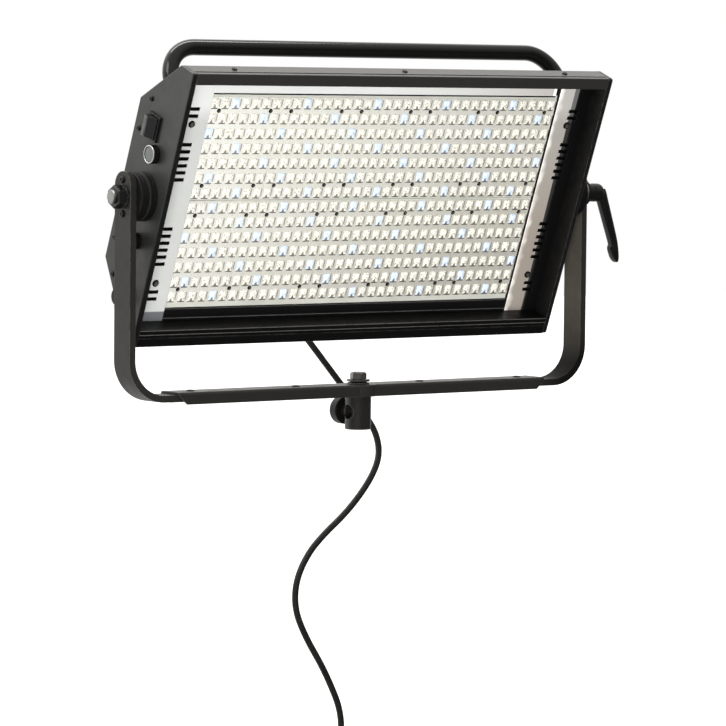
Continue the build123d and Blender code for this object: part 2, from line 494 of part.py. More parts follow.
ROUTE[0] = (GLAND[0], base[0] + 38.05 * gy, base[1] + 38.05 * gz)
ROUTE[1] = (GLAND[0], base[0] + 56.0 * gy, base[1] + 56.0 * gz)


def tube(name, route, limit):
    pts = [Vector(*p) for p in route]
    runs = [(b - a).length for a, b in zip(pts, pts[1:])]
    radii = []
    for i in range(1, len(pts) - 1):
        turn = math.radians((pts[i] - pts[i - 1]).get_angle(pts[i + 1] - pts[i]))
        radii.append(0.45 * min(runs[i - 1], runs[i]) / math.tan(turn / 2))
        print(name, i, "run %.1f turn %.1f radius %.1f" % (runs[i - 1], math.degrees(turn), radii[-1]),
              "" if radii[-1] >= limit else "SMALL")
    line = FilletPolyline(*route, radius=radii)
    body = sweep(Plane(origin=line @ 0, z_dir=line % 0) * Circle(CORD_D / 2), path=line)
    print(name, "length %.1f volume %.0f section*length %.0f last run %.1f" % (
        line.length, body.volume, math.pi * (CORD_D / 2) ** 2 * line.length, runs[-1]))
    put(name, body)


tube("power_cord", ROUTE, 5 * CORD_D)
cx, cy, cz = COIL_C
coil = revolve(Pos(COIL_R, 0) * RectangleRounded(2 * COIL_HALF, 2 * COIL_HALF, 3.6), Axis.Y)
put("cord_coil", Pos(cx, cy, cz) * coil)
band = RectangleRounded(26.0, 26.0, 4.4) - RectangleRounded(22.7, 22.7, 3.6)
tie = revolve(Pos(COIL_R, 0) * band, Axis.Y, 28)
put("cord_tie", Pos(cx, cy, cz) * (Rot(0, -31, 0) * tie))
TAIL = [(cx - 47.5, cy - 7.5, cz), (cx - 48.4, cy - 7.9, cz - 17.0), (cx - 46.8, cy - 8.1, cz - 35.0), (cx - 46.8, cy - 8.1, cz - 51.0)]
tube("cord_tail", TAIL, 5 * CORD_D)
px, py, pz = TAIL[-1]
relief = lathe([(0, 0), (4.3, 0), (4.9, 8.0), (6.6, 20.0), (0, 20.0)])
relief -= [Pos(0, 0, 4 + 4 * i) * (Cylinder(8, 1.2) - Cylinder(4.0, 2)) for i in range(4)]
grip = loft([Pos(0, 0, 20) * RectangleRounded(16, 13.4, 5), Pos(0, 0, 28) * RectangleRounded(25, 19, 7),
             Pos(0, 0, 44) * RectangleRounded(27, 21, 7), Pos(0, 0, 50) * RectangleRounded(29, 23, 7)])
plug = relief + grip
plug -= Pos(0, 5.3, 49) * Cylinder(2.4, 4.0)
plug -= [Pos(s * 6.35, -3.6, 48) * Box(1.6, 6.4, 8.0) for s in (-1, 1)]
put("cord_plug", along((px, py, pz), (0, 0, -1), plug, (1, 0, 0)))
pins = [Pos(s * 6.35, -3.6, 55.0) * Box(1.6, 6.4, 22.0) for s in (-1, 1)]
ground = Pos(0, 5.3, 58.0) * Cylinder(2.4, 22.0)
put("plug_pins", *[along((px, py, pz), (0, 0, -1), p, (1, 0, 0)) for p in pins + [ground]])

# ------------------------------------------------------------------ write
for name, shapes in nodes.items():
    solids = []
    for s in shapes:
        solids += list(s.solids())
    whole = solids[0] if len(solids) == 1 else Compound(children=solids)
    whole.label = name
    export_step(whole, "parts/%s.step" % name)
print(len(nodes), "nodes")
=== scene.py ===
import math
import random
import bpy
import bmesh
import numpy as np
from mathutils import Matrix, Vector


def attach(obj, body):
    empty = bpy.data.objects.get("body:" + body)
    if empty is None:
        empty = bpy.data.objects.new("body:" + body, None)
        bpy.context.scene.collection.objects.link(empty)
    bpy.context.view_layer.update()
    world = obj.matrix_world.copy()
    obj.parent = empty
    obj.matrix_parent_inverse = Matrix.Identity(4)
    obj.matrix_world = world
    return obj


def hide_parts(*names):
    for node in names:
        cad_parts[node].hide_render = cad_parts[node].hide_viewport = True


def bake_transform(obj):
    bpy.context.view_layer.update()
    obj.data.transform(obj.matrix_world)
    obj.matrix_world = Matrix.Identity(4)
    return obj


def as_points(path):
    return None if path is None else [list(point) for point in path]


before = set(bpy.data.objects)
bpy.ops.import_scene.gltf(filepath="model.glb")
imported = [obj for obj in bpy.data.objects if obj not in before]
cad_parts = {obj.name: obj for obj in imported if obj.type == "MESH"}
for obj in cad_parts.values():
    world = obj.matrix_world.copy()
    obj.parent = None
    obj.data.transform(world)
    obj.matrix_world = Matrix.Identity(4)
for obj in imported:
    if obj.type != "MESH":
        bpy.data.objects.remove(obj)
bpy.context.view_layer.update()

scene = bpy.context.scene
TILT = math.radians(21.3)
HEAD = Matrix.Translation((0, 0, 0.2587)) @ Matrix.Rotation(TILT, 4, "X")
MM = Matrix.Diagonal((0.001, 0.001, 0.001, 1))


def lamp(x, y, z):
    """A point given in the lamp's own millimetres, in world metres."""
    return HEAD @ Vector((x / 1000, y / 1000, z / 1000))


def add_mesh(name, verts, faces, body=None, smooth=True, mats=()):
    me = bpy.data.meshes.new(name)
    me.from_pydata([tuple(v) for v in verts], [], [tuple(f) for f in faces])
    me.validate()
    me.update()
    for m in mats:
        me.materials.append(m)
    if smooth:
        me.polygons.foreach_set("use_smooth", [True] * len(me.polygons))
    ob = bpy.data.objects.new(name, me)
    scene.collection.objects.link(ob)
    if body:
        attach(ob, body)
    return ob


# ------------------------------------------------------------------ camera
F_PX, YAW, PITCH, ROLL = 4128.775456802853, math.radians(36.74005777177174), math.radians(3.761307981345813), math.radians(0.5591570547801894)
U0, V0, DIST = 357.77421863342187, 429.00980137789725, 4128.775456802853 / 0.9058
d = Vector((-math.sin(YAW) * math.cos(PITCH), -math.cos(YAW) * math.cos(PITCH), math.sin(PITCH)))
fwd = -d
right = fwd.cross(Vector((0, 0, 1))).normalized()
down = fwd.cross(right).normalized()
cr, sr = math.cos(ROLL), math.sin(ROLL)
right, down = cr * right - sr * down, sr * right + cr * down
t = Vector(((U0 - 363) * DIST / F_PX, (V0 - 363) * DIST / F_PX, DIST))
eye = -(right * t.x + down * t.y + fwd * t.z) / 1000
cam_data = bpy.data.cameras.new("camera")
cam_data.sensor_width = 36
cam_data.lens = F_PX / 726 * 36
cam_data.clip_start, cam_data.clip_end = 0.1, 60
cam = bpy.data.objects.new("camera", cam_data)
rot = Matrix((right, -down, -fwd)).transposed()
cam.matrix_world = Matrix.Translation(eye) @ rot.to_4x4()
scene.collection.objects.link(cam)
scene.camera = cam


# ------------------------------------------------------------------ node helpers
class Mat:
    """A material under construction: a Principled shader and short names for the nodes that feed it."""

    def __init__(self, name, scale_coord="Object"):
        self.m = bpy.data.materials.new(name)
        self.m.use_nodes = True
        self.nt = self.m.node_tree
        self.nt.nodes.clear()
        self.out = self.nt.nodes.new("ShaderNodeOutputMaterial")
        self.b = self.nt.nodes.new("ShaderNodeBsdfPrincipled")
        self.link(self.b.outputs[0], self.out.inputs[0])
        self.co = self.nt.nodes.new("ShaderNodeTexCoord").outputs[scale_coord]
        self.geo = self.nt.nodes.new("ShaderNodeNewGeometry")

    def link(self, a, b):
        self.nt.links.new(a, b)

    def set(self, **kw):
        for k, v in kw.items():
            self.b.inputs[k.replace("_", " ")].default_value = v

    def put(self, sock, v):
        if isinstance(v, bpy.types.NodeSocket):
            self.link(v, sock)
        else:
            sock.default_value = v

    def math(self, op, a, b=0.0, c=0.0, clamp=False):
        n = self.nt.nodes.new("ShaderNodeMath")
        n.operation = op
        n.use_clamp = clamp
        self.put(n.inputs[0], a)
        self.put(n.inputs[1], b)
        if op in ("MULTIPLY_ADD", "SMOOTH_MIN", "COMPARE"):
            self.put(n.inputs[2], c)
        return n.outputs[0]

    def remap(self, v, a, b, c, d, clamp=True):
        n = self.nt.nodes.new("ShaderNodeMapRange")
        n.clamp = clamp
        self.put(n.inputs["Value"], v)
        for k, x in (("From Min", a), ("From Max", b), ("To Min", c), ("To Max", d)):
            n.inputs[k].default_value = x
        return n.outputs[0]

    def stretch(self, s, coord=None, rot=(0, 0, 0)):
        n = self.nt.nodes.new("ShaderNodeMapping")
        n.inputs["Scale"].default_value = s
        n.inputs["Rotation"].default_value = rot
        self.link(coord or self.co, n.inputs["Vector"])
        return n.outputs[0]

    def noise(self, scale, detail=2.0, rough=0.5, coord=None, kind="NOISE"):
        n = self.nt.nodes.new("ShaderNodeTexNoise")
        n.inputs["Scale"].default_value = scale
        n.inputs["Detail"].default_value = detail
        n.inputs["Roughness"].default_value = rough
        self.link(coord or self.co, n.inputs["Vector"])
        return n.outputs["Fac"]

    def voronoi(self, scale, feature="F1", coord=None):
        n = self.nt.nodes.new("ShaderNodeTexVoronoi")
        n.feature = feature
        n.inputs["Scale"].default_value = scale
        self.link(coord or self.co, n.inputs["Vector"])
        return n.outputs["Distance"]

    def mix(self, fac, a, b, mode="MIX"):
        n = self.nt.nodes.new("ShaderNodeMix")
        n.data_type = "RGBA"
        n.blend_type = mode
        self.put(n.inputs[0], fac)
        self.put(n.inputs[6], a if isinstance(a, bpy.types.NodeSocket) else (*a, 1))
        self.put(n.inputs[7], b if isinstance(b, bpy.types.NodeSocket) else (*b, 1))
        return n.outputs[2]

    def xyz(self, coord=None):
        n = self.nt.nodes.new("ShaderNodeSeparateXYZ")
        self.link(coord or self.co, n.inputs[0])
        return n.outputs

    def tex_normal(self):
        return self.co.node.outputs["Normal"]

    def attr(self, name, out="Fac"):
        n = self.nt.nodes.new("ShaderNodeAttribute")
        n.attribute_name = name
        return n.outputs[out]

    def edge(self, radius=0.0009, gain=6.0):
        """About 1 on outside edges and 0 on open faces, and the rounded normal."""
        bv = self.nt.nodes.new("ShaderNodeBevel")
        bv.samples = 6
        bv.inputs["Radius"].default_value = radius
        n = self.nt.nodes.new("ShaderNodeVectorMath")
        n.operation = "DOT_PRODUCT"
        self.link(bv.outputs[0], n.inputs[0])
        self.link(self.geo.outputs["Normal"], n.inputs[1])
        m = self.math("SUBTRACT", 1.0, n.outputs["Value"])
        return self.math("MULTIPLY", m, gain, clamp=True), bv.outputs[0]

    def bump(self, *layers, normal=None):
        """layers of (height socket, strength, distance), finest last."""
        last = normal
        for h, s, dist in layers:
            n = self.nt.nodes.new("ShaderNodeBump")
            n.inputs["Strength"].default_value = s
            n.inputs["Distance"].default_value = dist
            self.link(h, n.inputs["Height"])
            if last is not None:
                self.link(last, n.inputs["Normal"])
            last = n.outputs[0]
        self.link(last, self.b.inputs["Normal"])

    def color(self, v):
        self.put(self.b.inputs["Base Color"], v if isinstance(v, bpy.types.NodeSocket) else (*v, 1))

    def rough(self, v):
        self.put(self.b.inputs["Roughness"], v)


def lin(r, g, b):
    return tuple((x / 255 / 12.92) if x <= 10 else ((x / 255 + 0.055) / 1.055) ** 2.4 for x in (r, g, b))


def painted(name, base, rough, grain=1400.0, grain_mm=0.03, orange=260.0, orange_mm=0.02, blotch=0.12, spec=0.5,
            wear=None, wear_gain=5.0, radius=0.0009, coat=0.0, dust=0.0, round_edges=True):
    """Powder coat or satin paint over metal: fine grain, orange peel, slow tone changes, rubbed edges."""
    k = Mat(name)
    slow = k.noise(9.0, 4.0, 0.6)
    mid = k.noise(75.0, 3.0, 0.6)
    fine = k.noise(grain, 2.0, 0.6)
    orange_n = k.noise(orange, 2.0, 0.5)
    c = k.mix(k.remap(slow, 0.3, 0.7, 0, 1), tuple(x * (1 - blotch) for x in base), tuple(x * (1 + blotch) for x in base))
    c = k.mix(k.remap(fine, 0.35, 0.65, 0, 0.35), c, tuple(x * 0.72 for x in base))
    mask, nrm = k.edge(radius, wear_gain)
    broken = k.math("MULTIPLY", mask, k.remap(mid, 0.38, 0.62, 0.15, 1.0), clamp=True)
    c = k.mix(k.math("MULTIPLY", broken, 0.75), c, wear or tuple(min(1, x * 2.1 + 0.02) for x in base))
    if dust:
        up = k.nt.nodes.new("ShaderNodeSeparateXYZ")
        k.link(k.geo.outputs["Normal"], up.inputs[0])
        top = k.remap(up.outputs[2], 0.55, 1.0, 0.0, dust)
        c = k.mix(k.math("MULTIPLY", top, k.remap(mid, 0.3, 0.7, 0.2, 1.0)), c, lin(150, 144, 134))
    k.color(c)
    r = k.math("ADD", k.remap(mid, 0.3, 0.7, rough - 0.05, rough + 0.06), k.math("MULTIPLY", broken, -0.12))
    k.rough(r)
    k.set(Specular_IOR_Level=spec, Coat_Weight=coat, Coat_Roughness=0.18)
    k.bump((orange_n, 0.35, orange_mm / 1000), (fine, 0.5, grain_mm / 1000), normal=nrm if round_edges else None)
    return k


def plastic(name, base, rough, grain=900.0, grain_mm=0.04, spec=0.5, blotch=0.1, radius=0.0006, coat=0.0, wear=None):
    k = Mat(name)
    slow = k.noise(22.0, 3.0, 0.6)
    cell = k.voronoi(grain)
    mid = k.noise(120.0, 3.0, 0.65)
    c = k.mix(k.remap(slow, 0.3, 0.7, 0, 1), tuple(x * (1 - blotch) for x in base), tuple(x * (1 + blotch) for x in base))
    mask, nrm = k.edge(radius, 4.0)
    edge_lightening = k.math("MULTIPLY", mask, k.remap(mid, 0.4, 0.6, 0.2, 1.0), clamp=True)
    c = k.mix(k.math("MULTIPLY", edge_lightening, 0.6), c, wear or tuple(min(1, x * 2.4 + 0.015) for x in base))
    k.color(c)
    k.rough(k.math("ADD", k.remap(mid, 0.3, 0.7, rough - 0.05, rough + 0.07), k.math("MULTIPLY", edge_lightening, -0.1)))
    k.set(Specular_IOR_Level=spec, Coat_Weight=coat, Coat_Roughness=0.2)
    k.bump((slow, 0.15, 0.0002), (cell, 0.45, grain_mm / 1000), normal=nrm)
    return k


def metal(name, base, rough, axis="X", streak=0.0, tarnish=None, radius=0.0005, scratch=0.25, spec=0.5):
    k = Mat(name)
    s = {"X": (30, 1400, 1400), "Y": (1400, 30, 1400), "Z": (1400, 1400, 30)}[axis]
    lines = k.noise(1.0, 2.0, 0.6, coord=k.stretch(s))
    slow = k.noise(40.0, 3.0, 0.6)
    fine = k.noise(600.0, 2.0, 0.6)
    c = k.mix(k.remap(slow, 0.3, 0.7, 0, 1), tuple(x * 0.88 for x in base), tuple(min(1, x * 1.08) for x in base))
    if tarnish:
        c = k.mix(k.remap(fine, 0.52, 0.72, 0, 0.45), c, tarnish)
    c = k.mix(k.remap(lines, 0.3, 0.7, 0, streak), c, tuple(x * 0.6 for x in base))
    mask, nrm = k.edge(radius, 4.0)
    c = k.mix(k.math("MULTIPLY", mask, 0.5), c, tuple(min(1, x * 1.35) for x in base))
    k.color(c)
    k.rough(k.remap(lines, 0.3, 0.7, rough - 0.06, rough + 0.1))
    k.set(Metallic=1.0, Specular_IOR_Level=spec)
    k.bump((fine, 0.15, 0.00002), (lines, scratch, 0.00003), normal=nrm)
    return k


# ------------------------------------------------------------------ cord
def spline(name, pts, resolution=7):
    """Points along one NURBS spline through these control points."""
    cu = bpy.data.curves.new(name, "CURVE")
    cu.dimensions = "3D"
    sp = cu.splines.new("NURBS")
    sp.points.add(len(pts) - 1)
    for p, c in zip(sp.points, pts):
        p.co = (c[0] / 1000, c[1] / 1000, c[2] / 1000, 1)
    sp.order_u = 3
    sp.use_endpoint_u = True
    sp.resolution_u = resolution
    ob = bpy.data.objects.new(name, cu)
    scene.collection.objects.link(ob)
    bpy.context.view_layer.update()
    me = bpy.data.meshes.new_from_object(ob.evaluated_get(bpy.context.evaluated_depsgraph_get()))
    out = [v.co.copy() for v in me.vertices]
    bpy.data.objects.remove(ob)
    bpy.data.meshes.remove(me)
    bpy.data.curves.remove(cu)
    return out


def frames(path, up=(0, 1, 0.2)):
    """Parallel-carried side and top vectors at each point of a path."""
    n = len(path)
    tans = [(path[min(i + 1, n - 1)] - path[max(i - 1, 0)]).normalized() for i in range(n)]
    a = Vector(up)
    a = (a - tans[0] * a.dot(tans[0])).normalized()
    out = []
    for i in range(n):
        a = (a - tans[i] * a.dot(tans[i])).normalized()
        out.append((tans[i], a, tans[i].cross(a)))
    return out


def tube(name, path, radius, segs=18):
    verts, faces = [], []
    fr = frames(path)
    for (p, (tg, a, b)) in zip(path, fr):
        for j in range(segs):
            w = 2 * math.pi * j / segs
            verts.append(p + a * (radius * math.cos(w)) + b * (radius * math.sin(w)))
    for i in range(len(path) - 1):
        for j in range(segs):
            q = (j + 1) % segs
            faces.append((i * segs + j, i * segs + q, (i + 1) * segs + q, (i + 1) * segs + j))
    faces.append(tuple(range(segs - 1, -1, -1)))
    faces.append(tuple((len(path) - 1) * segs + j for j in range(segs)))
    return verts, faces


S21, C21 = math.sin(TILT), math.cos(TILT)
GB = (3.0, 31 * C21 + 104 * S21, 258.7 + 31 * S21 - 104 * C21)
GY, GZ = math.sqrt(0.5) * (C21 + S21), math.sqrt(0.5) * (S21 - C21)
ROUTE = [
    (3.0, GB[1] + 38.05 * GY, GB[2] + 38.05 * GZ), (3.0, GB[1] + 56 * GY, GB[2] + 56 * GZ),
    (6.2, 131.3, 136.7), (12.1, 137.7, 119.2), (19.7, 136, 101.3), (32.6, 122.6, 77.5), (49, 102.4, 44.6),
    (63.6, 83.4, 15.5), (72.9, 72, -2.5), (76, 64.5, -18.5), (73.8, 58, -36), (63.9, 53.5, -53.8),
    (45.4, 50, -75.2), (18.7, 47.5, -99.4), (-12.9, 45.5, -121.1), (-35.8, 44, -141.9), (-51.8, 43.2, -171),
    (-52.8, 42.6, -202), (-38.2, 42.2, -233.1), (-15.2, 42, -267.3), (-1.1, 42, -293.1), (9.5, 42, -316),
    (13, 42, -340), (9, 42, -361), (-1.5, 42, -376), (-12, 42, -386.5)]
CX, CY, CZ = 21.6, 34.5, -420.1
CELLS = [(1, 1), (0, 1), (-1, 1), (-1, 0), (-1, -1), (0, -1), (0, 0), (1, 0), (1, -1)]
coil = []
PER_TURN = 16
first, last = 135.0, 3060.0
steps = int((last - first) / (360.0 / PER_TURN))
for n in range(1, steps + 1):
    phi = first + 360.0 / PER_TURN * n
    r, y = CELLS[0]
    for k in range(8):
        f = min(1.0, max(0.0, (phi - (450 + 318 * k)) / 45.0))
        f = f * f * (3 - 2 * f)
        r += (CELLS[k + 1][0] - CELLS[k][0]) * f
        y += (CELLS[k + 1][1] - CELLS[k][1]) * f
    rad = (40 + 7.5 * r) / 0.984
    a = math.radians(phi)
    coil.append((CX + rad * math.cos(a), CY + 7.5 * y, CZ + rad * math.sin(a)))
TAIL = [(CX - 47.3, CY - 7.6, CZ - 6), (CX - 48.4, CY - 7.9, CZ - 19), (CX - 46.9, CY - 8.1, CZ - 35), (CX - 46.8, CY - 8.1, CZ - 51)]
line = spline("cord_line", ROUTE + coil + TAIL)
CORD_LEN = sum((b - a).length for a, b in zip(line, line[1:]))
print("CORD length", round(CORD_LEN, 4), "points", len(line))

rubber = Mat("cord_rubber")
slow = rubber.noise(35.0, 3.0, 0.6)
fine = rubber.noise(1500.0, 2.0, 0.6)
scuff = rubber.noise(160.0, 4.0, 0.7)
c = rubber.mix(rubber.remap(slow, 0.3, 0.7, 0, 1), (0.007, 0.0066, 0.0062), (0.013, 0.012, 0.011))
c = rubber.mix(rubber.remap(scuff, 0.6, 0.78, 0, 0.5), c, (0.055, 0.052, 0.048))
rubber.color(c)
rubber.rough(rubber.remap(scuff, 0.3, 0.7, 0.34, 0.5))
rubber.set(Specular_IOR_Level=0.3)
rubber.bump((slow, 0.3, 0.0004), (fine, 0.4, 0.00003))

v, f = tube("cord", line, 0.00365)
cord = add_mesh("power_lead", v, f, mats=[rubber.m])
tuple(line[0])
tuple(line[60])
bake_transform(cord)
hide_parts("power_cord", "cord_coil", "cord_tail")
tuple(line[0])
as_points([tuple(p) for p in line[::2]] + [tuple(line[-1])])


# ------------------------------------------------------------------ lens array
PX, PZ = 13.44, 17.21
BASE, TOP = -10.3, -12.7
rnd = random.Random(7)


def tiles():
    """The moulded lens plates: one per board, holed for the board screws."""
    bm = bmesh.new()
    seen = {}

    def vert(x, z):
        key = (round(x, 3), round(z, 3))
        if key not in seen:
            seen[key] = bm.verts.new((x, BASE, z))
        return seen[key]

    for i in range(5):
        for j in range(2):
            seen.clear()
            cx = (i - 2) * 7 * PX
            rows = [-1.2 + (6.5 - r) * PZ for r in range(7 * j, 7 * j + 7)]
            for ci in range(7):
                for ri in range(7):
                    x, z = cx + (ci - 3) * PX, rows[ri]
                    x0 = x - (PX / 2 if ci else 6.45)
                    x1 = x + (PX / 2 if ci < 6 else 6.45)
                    z0 = z - (PZ / 2 if ri < 6 else 6.8)
                    z1 = z + (PZ / 2 if ri else 6.8)
                    loop = []
                    for (u, w, du, dw) in ((x0, z0, -.5, .5), (x1, z0, .5, .5), (x1, z1, .5, -.5), (x0, z1, -.5, -.5)):
                        if (ci + du) in (0.5, 5.5) and (ri + dw) in (0.5, 5.5):
                            su, sw = (1 if u == x0 else -1), (1 if w == z0 else -1)
                            # quarter arc of the screw hole, walked from one side of the corner to the other
                            arc = [(u + su * 2.7 * math.cos(q), w + sw * 2.7 * math.sin(q))
                                   for q in (i2 * math.pi / 8 for i2 in range(5))]
                            if (su > 0) == (sw > 0):
                                arc.reverse()
                            loop += arc
                        else:
                            loop.append((u, w))
                    bm.faces.new([vert(*p) for p in loop])
    fs = list(bm.faces)
    ext = bmesh.ops.extrude_face_region(bm, geom=fs)
    for e in ext["geom"]:
        if isinstance(e, bmesh.types.BMVert):
            e.co.y += 0.8
    bmesh.ops.recalc_face_normals(bm, faces=list(bm.faces))
    return bm


def cell_template():
    """One lens: a square-shouldered dome with two splayed feet below it, in cell millimetres; tone and glow per vertex."""
    V, Fc, tone, glow = [], [], [], []

    def grid(fn, nu, nv, tn, gl):
        base = len(V)
        for a in range(nu + 1):
            for b in range(nv + 1):
                u, w = -1 + 2 * a / nu, -1 + 2 * b / nv
                V.append(fn(u, w))
                tone.append(tn(u, w) if callable(tn) else tn)
                glow.append(gl(u, w) if callable(gl) else gl)
        for a in range(nu):
            for b in range(nv):
                i0 = base + a * (nv + 1) + b
                Fc.append((i0, i0 + nv + 1, i0 + nv + 2, i0 + 1))

    def sq(u, w, p=4.0):
        """A square grid point pulled to a superellipse."""
        m = max(abs(u), abs(w))
        if m < 1e-6:
            return 0.0, 0.0, 0.0
        q = (abs(u) ** p + abs(w) ** p) ** (1 / p)
        return u * m / q, w * m / q, m

    def dome(u, w):
        x, z, m = sq(math.sin(u * math.pi / 2), math.sin(w * math.pi / 2), 5.0)
        h = (1 - m ** 2.6) ** 0.8
        return (4.7 * x, BASE + (TOP - BASE) * h + 0.1 * m, 1.9 + 4.2 * z)

    grid(dome, 10, 10, lambda u, w: 1.0 - 0.28 * max(abs(u), abs(w)) ** 8, lambda u, w: 1.0 - 0.9 * max(abs(u), abs(w)) ** 3)

    def leg(side):
        def fn(u, w):
            # w runs down the foot, u across it over the top
            zz = -0.6 - 4.6 * (w + 1) / 2
            xc = side * (1.9 + 1.5 * (w + 1) / 2)
            wd = 1.3 - 0.1 * (w + 1) / 2
            h = math.cos(u * math.pi / 2) ** 0.6 if abs(u) < 1 else 0.0
            drop = 1.0 if w < 0.99 else 0.35
            return (xc + u * wd, BASE + 0.1 - (1.9 - 0.4 * (w + 1) / 2) * h * drop, zz)
        return fn

    for s in (-1, 1):
        grid(leg(s), 4, 4, 0.97, lambda u, w: 0.75 - 0.35 * max(0, w))

    # the emitter's dark edge seen between the feet, darkened further as painted shade in the gap, and a painted shadow
    # line under them
    def peak(u, w):
        f = (w + 1) / 2
        wd = 0.3 + 1.5 * f
        return (u * wd, BASE - 1.15 * (1 - u * u) - 0.05, -1.6 - 3.4 * f)
    grid(peak, 3, 3, 0.34, 0.0)

    def dash(u, w):
        return (0.3 + u * 4.3, BASE - 0.75 * (1 - w * w) * (1 - u ** 6) - 0.02, -5.95 + 0.62 * w)
    grid(dash, 6, 2, 0.2, 0.0)

    # painted shade: a darker strip at the right side of each lens, between the cells
    def side(u, w):
        return (5.75 + 0.6 * u, BASE - 0.9 * (1 - u * u) * (1 - w ** 6) - 0.02, 0.9 + 4.4 * w)
    grid(side, 2, 6, 0.5, 0.0)
    return np.array(V, float), Fc, np.array(tone), np.array(glow)


def build_lenses(mat):
    bm = tiles()
    me = bpy.data.meshes.new("lens_base")
    bm.to_mesh(me)
    bm.free()
    base_v = [tuple(x.co) for x in me.vertices]
    base_f = [tuple(p.vertices) for p in me.polygons]
    bpy.data.meshes.remove(me)
    T, Fc, tone, glow = cell_template()
    V, FF = list(base_v), list(base_f)
    tones, glows, tints, flat = [0.0] * len(V), [0.0] * len(V), [0.0] * len(V), len(base_f)
    cool = [2, 5, 0, 3, 6, 1, 4]
    for i in range(5):
        for j in range(2):
            cx = (i - 2) * 7 * PX
            for r in range(7):
                z = -1.2 + (6.5 - (7 * j + r)) * PZ
                for cc in range(7):
                    x = cx + (cc - 3) * PX
                    jx, jz = rnd.uniform(-0.12, 0.12), rnd.uniform(-0.12, 0.12)
                    a = math.radians(rnd.uniform(-1.6, 1.6))
                    P = T.copy()
                    P[:, 0] = x + jx + T[:, 0] * math.cos(a) - T[:, 2] * math.sin(a) * 0.6
                    P[:, 2] = z + jz + T[:, 2] * math.cos(a) + T[:, 0] * math.sin(a) * 0.6
                    off = len(V)
                    V.extend(map(tuple, P))
                    FF.extend(tuple(q + off for q in fc) for fc in Fc)
                    tones.extend(tone)
                    blue = cool[r] == cc
                    lvl = rnd.uniform(0.86, 1.06)
                    glows.extend(glow * lvl)
                    tints.extend([rnd.uniform(0.86, 1.0) if blue else rnd.uniform(0.0, 0.3)] * len(T))
    ob = add_mesh("lens_array", V, FF, mats=[mat])
    sm = [k >= flat for k in range(len(FF))]
    ob.data.polygons.foreach_set("use_smooth", sm[: len(ob.data.polygons)])
    for nm, vals in (("tone", tones), ("glow", glows), ("tint", tints)):
        at = ob.data.attributes.new(nm, "FLOAT", "POINT")
        at.data.foreach_set("value", np.array(vals, np.float32))
    ob.data.transform(HEAD @ MM)
    bmx = bmesh.new()
    bmx.from_mesh(ob.data)
    bmesh.ops.recalc_face_normals(bmx, faces=[q for q in bmx.faces if q.index < flat])
    # open shells face the viewer: the lamp's front is -Y
    fn = (HEAD.to_3x3() @ Vector((0, -1, 0)))
    for q in bmx.faces:
        if q.index >= flat and q.normal.dot(fn) < 0:
            q.normal_flip()
    bmx.to_mesh(ob.data)
    bmx.free()
    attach(ob, "head")
    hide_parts("lens_plates")
    return ob


lens = Mat("lens_polycarbonate")
tone, glow, tint = lens.attr("tone"), lens.attr("glow"), lens.attr("tint")
isl = lens.geo.outputs["Random Per Island"]
grit = lens.noise(700.0, 3.0, 0.7)
cloud = lens.noise(16.0, 3.0, 0.55)
warm = lens.noise(11.0, 2.0, 0.5)
lx, ly, lz = lens.xyz()
# painted shade: panel_shade_ramp runs from the upper left to the lower right of the panel, and the ground between the
# lenses is coloured darker along it
panel_shade_ramp = lens.remap(lens.math("SUBTRACT", lens.math("MULTIPLY", lx, 1.0), lens.math("MULTIPLY", lz, 1.6)), -0.85, -0.1, 0, 1)
ground = lens.mix(panel_shade_ramp, lin(246, 247, 242), lin(192, 188, 180))
ground = lens.mix(lens.remap(grit, 0.3, 0.7, 0.22, 0), ground, lin(120, 115, 102))
ground = lens.mix(lens.remap(warm, 0.35, 0.65, 0, 0.22), ground, lin(214, 212, 188))
dark = lens.mix(lens.remap(tone, 0.15, 0.6, 0, 1), lin(60, 58, 52), lin(140, 136, 124))
blue = lens.remap(tint, 0.5, 0.9, 0, 1)
shine = lens.mix(blue, lin(228, 225, 212), lin(210, 225, 246))
speck = lens.noise(640.0, 3.0, 0.65)
shine = lens.mix(lens.remap(speck, 0.5, 0.64, 0, 0.8), shine, lens.mix(blue, lin(136, 131, 115), lin(186, 206, 232)))
body = lens.mix(lens.remap(tone, 0.62, 0.98, 0, 1), dark, shine)
cc = lens.mix(lens.remap(tone, 0.0, 0.12, 0, 1), ground, body)
lens.color(cc)
lens.rough(lens.remap(grit, 0.3, 0.7, 0.18, 0.34))
glow_c = lens.mix(tint, lin(255, 252, 240), lin(208, 228, 255))
glow_c = lens.mix(lens.math("MULTIPLY", isl, 0.5), glow_c, lin(255, 249, 232))
glow_c = lens.mix(blue, glow_c, lin(226, 239, 255))
lens.link(glow_c, lens.b.inputs["Emission Color"])
facet = lens.remap(lens.voronoi(520.0, "DISTANCE_TO_EDGE"), 0.0, 0.16, 0.25, 1.0)
flick = lens.math("MULTIPLY", lens.remap(speck, 0.44, 0.62, 1.2, 0.05), facet)
# painted light: a small glow added to the whole lens sheet, strongest at the upper left and fading along the shade
# ramp
spread = lens.remap(panel_shade_ramp, 0.0, 1.0, 0.15, 0.03)
lens.link(lens.math("ADD", lens.math("MULTIPLY", lens.math("MULTIPLY", glow, flick), lens.remap(panel_shade_ramp, 0.0, 1.0, 0.46, 0.62)), spread), lens.b.inputs["Emission Strength"])
lens.set(Specular_IOR_Level=0.55, Coat_Weight=0.5, Coat_Roughness=0.08)
lens.bump((lens.noise(260.0, 2.0, 0.5), 0.4, 0.0003), (grit, 0.35, 0.0001))
build_lenses(lens.m)

